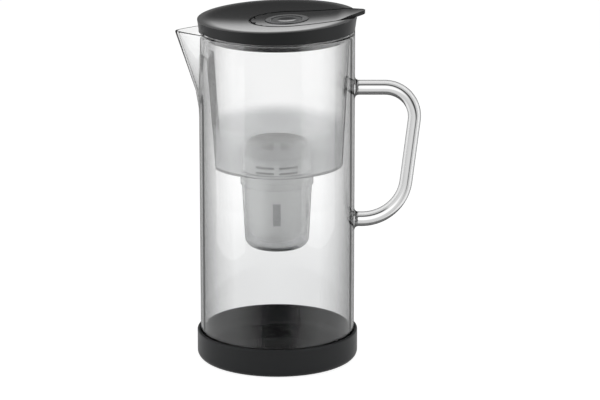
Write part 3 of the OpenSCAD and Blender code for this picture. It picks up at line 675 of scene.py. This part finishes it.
def soften(mesh, width):
    edges = [e for e in mesh.edges if e.is_manifold and e.calc_face_angle(0) > SHARP_FROM]
    bmesh.ops.bevel(mesh, geom=edges, offset=width * MM, offset_type="OFFSET", affect="EDGES",
                    segments=2, profile=0.5, material=-1, clamp_overlap=True)
    return mesh


bodies = {node: body for body, members in frame["record"]["behaviour"]["bodies"].items() for node in members}
SOFT_EDGES = {"cartridge_cap": 0.4, "lid_liner": 0.25, "indicator_bezel": 0.15,
              "indicator_button": 0.15, "indicator_housing": 0.2, "indicator_door": 0.2}
for node, width in SOFT_EDGES.items():
    piece = even(piece_from(soften(skin_of(node), width), "soft_" + node, bodies[node], slots[node], [node]))
    # The cap gets the lighter copy of the white plastic: painted light.
    if node == "cartridge_cap":
        piece.data.materials[0] = finishes["cap_painted_light"]

# %% [markdown]
# ## Cartridge body
# A strip down each end of the cartridge is moulded a little deeper. Its faces get a darker
# plastic of their own, which paints the shade of that recess.

# %% Cartridge body
STRIP_HALF, STRIP_LOW, STRIP_HIGH, STRIP_FROM_Y = 2.9, 116.0, 134.0, 40.0
body = soften(skin_of("cartridge_body"), 0.4)
# The faces in the grooves get the darker plastic: painted shade.
for face in body.faces:
    middle = face.calc_center_median() / MM
    if abs(middle.x) < STRIP_HALF and STRIP_LOW < middle.z < STRIP_HIGH and abs(middle.y) > STRIP_FROM_Y:
        face.material_index = 1
even(piece_from(body, "soft_cartridge_body", bodies["cartridge_body"], "white_plastic", ["cartridge_body"],
                ["groove_shade"]))

# %% [markdown]
# ## Lid cover
# The cover is one moulding, but its glossy dish mirrors the studio while its satin side
# band does not, so the faces of the band get a second, duller finish. A thin strip of that
# duller finish along the seam round the flap is painted shade.

# %% Lid cover
BAND_FROM_R = 59.0
SEAM_SHADE_WIDTH = 0.6
SEAM_SLOPE = 0.93


def seam_shade_strip(mesh, inside_r):
    """Cuts a narrow strip along the borders of the dish and gives those within inside_r the second, duller finish:
    painted shade along the seam round the flap.
    """
    dish = [f for f in mesh.faces if f.normal.z > SEAM_SLOPE]
    top = max(corner.co.z for corner in mesh.verts)
    strip = bmesh.ops.inset_region(mesh, faces=dish, thickness=SEAM_SHADE_WIDTH * MM, depth=0, use_boundary=True,
                                   use_even_offset=True)["faces"]
    for corner in mesh.verts:
        corner.co.z = min(corner.co.z, top)
    for face in strip:
        middle = face.calc_center_median()
        if hypot(middle.x, middle.y) < inside_r * MM:
            face.material_index = 1


cover = soften(skin_of("lid_cover"), 0.45)
# Painted shade: a thin strip of the duller finish along the opening's edge, by the seam round the flap.
seam_shade_strip(cover, BAND_FROM_R)
for face in cover.faces:
    middle = face.calc_center_median()
    on_band = hypot(middle.x, middle.y) > BAND_FROM_R * MM
    if face.normal.z < (0.5 if on_band else SEAM_SLOPE):
        face.material_index = 1
even(piece_from(cover, "soft_lid_cover", bodies["lid_cover"], "lid_plastic", ["lid_cover"], ["lid_band"]))

# %% [markdown]
# ## Filling flap
# The flap is a slice of the same dish as the cover, so closed it goes on the dish's curve,
# and its thumb tab rises out of it past the rim. The construction's tab is straight from
# side to side. Here it is cut into strips and bent to the dish's curve, so that one smooth
# surface runs from the hinge to the tab's tip.

# %% Flap
BALL_R, BALL_X, BALL_Z = 496.4, -16.78, 763.82
TAB_START, STRIP_PITCH, HALF_FLAP = 45.2, 2.5, 27.5


def dish_height(x, y):
    return BALL_Z - sqrt(BALL_R ** 2 - (x - BALL_X) ** 2 - y ** 2)


flap_mesh = skin_of("flap")
cut = -HALF_FLAP + STRIP_PITCH
while cut < HALF_FLAP:
    parts = flap_mesh.verts[:] + flap_mesh.edges[:] + flap_mesh.faces[:]
    bmesh.ops.bisect_plane(flap_mesh, geom=parts, dist=1e-6, plane_co=(0, cut * MM, 0), plane_no=(0, 1, 0))
    cut += STRIP_PITCH
for corner in flap_mesh.verts:
    x, y, z = corner.co / MM
    on_dish = min(abs(z + drop - dish_height(x, y)) for drop in (0, 2.6))
    off_dish = min(abs(z + drop - dish_height(x, 0)) for drop in (0, 2.6))
    if x > TAB_START + 0.01 or (x > TAB_START - 0.01 and off_dish < on_dish):
        corner.co.z += (dish_height(x, y) - dish_height(x, 0)) * MM
bmesh.ops.remove_doubles(flap_mesh, verts=flap_mesh.verts, dist=0.03 * MM)
bmesh.ops.dissolve_degenerate(flap_mesh, edges=flap_mesh.edges, dist=0.005 * MM)
print("flap skin open edges:", sum(not e.is_manifold for e in flap_mesh.edges))
soften(flap_mesh, 0.45)
# Painted shade: a thin strip of the duller finish along the flap's edge, by its seam.
seam_shade_strip(flap_mesh, TAB_START)
for face in flap_mesh.faces:
    if face.normal.z < SEAM_SLOPE:
        face.material_index = 1
even(piece_from(flap_mesh, "soft_flap", bodies["flap"], "lid_plastic", ["flap"], ["lid_band"]))

# %% [markdown]
# ## Boot
# The boot is a soft cup, turned like the jug. Its lip is rounded, and draws the thin
# bright line between the boot and the glass.

# %% Boot
BOOT_R, BOOT_H, BOOT_FLOOR, BOOT_CORNER = 62.6, 22.3, 3.5, 5.0
BOOT_IN, BOOT_IN_CORNER = 60.3, 8.3
lip_r = (BOOT_R - BOOT_IN) / 2
points = [(x, 0) for x in (0, 20, 40)]
points += arc_points(BOOT_R - BOOT_CORNER, BOOT_CORNER, BOOT_CORNER, -90, 0, 10)
points += [(BOOT_R, z) for z in (8, 11, 14, 17, 20)]
points += arc_points(BOOT_R - lip_r, BOOT_H - lip_r, lip_r, 0, 180, 12)
points += [(BOOT_IN, z) for z in (18, 15)]
points += arc_points(BOOT_IN - BOOT_IN_CORNER, BOOT_FLOOR + BOOT_IN_CORNER, BOOT_IN_CORNER, 0, -90, 10)
points += [(x, BOOT_FLOOR) for x in (40, 20, 0)]
boot = bmesh.new()
ring, edges = outline(boot, points)
bmesh.ops.spin(boot, geom=ring + edges, cent=(0, 0, 0), axis=(0, 0, 1), angle=2 * pi, steps=192, use_merge=True)
bmesh.ops.remove_doubles(boot, verts=boot.verts, dist=1e-6)
bmesh.ops.recalc_face_normals(boot, faces=boot.faces)
piece_from(boot, "turned_boot", bodies["base_boot"], "boot_rubber", ["base_boot"])
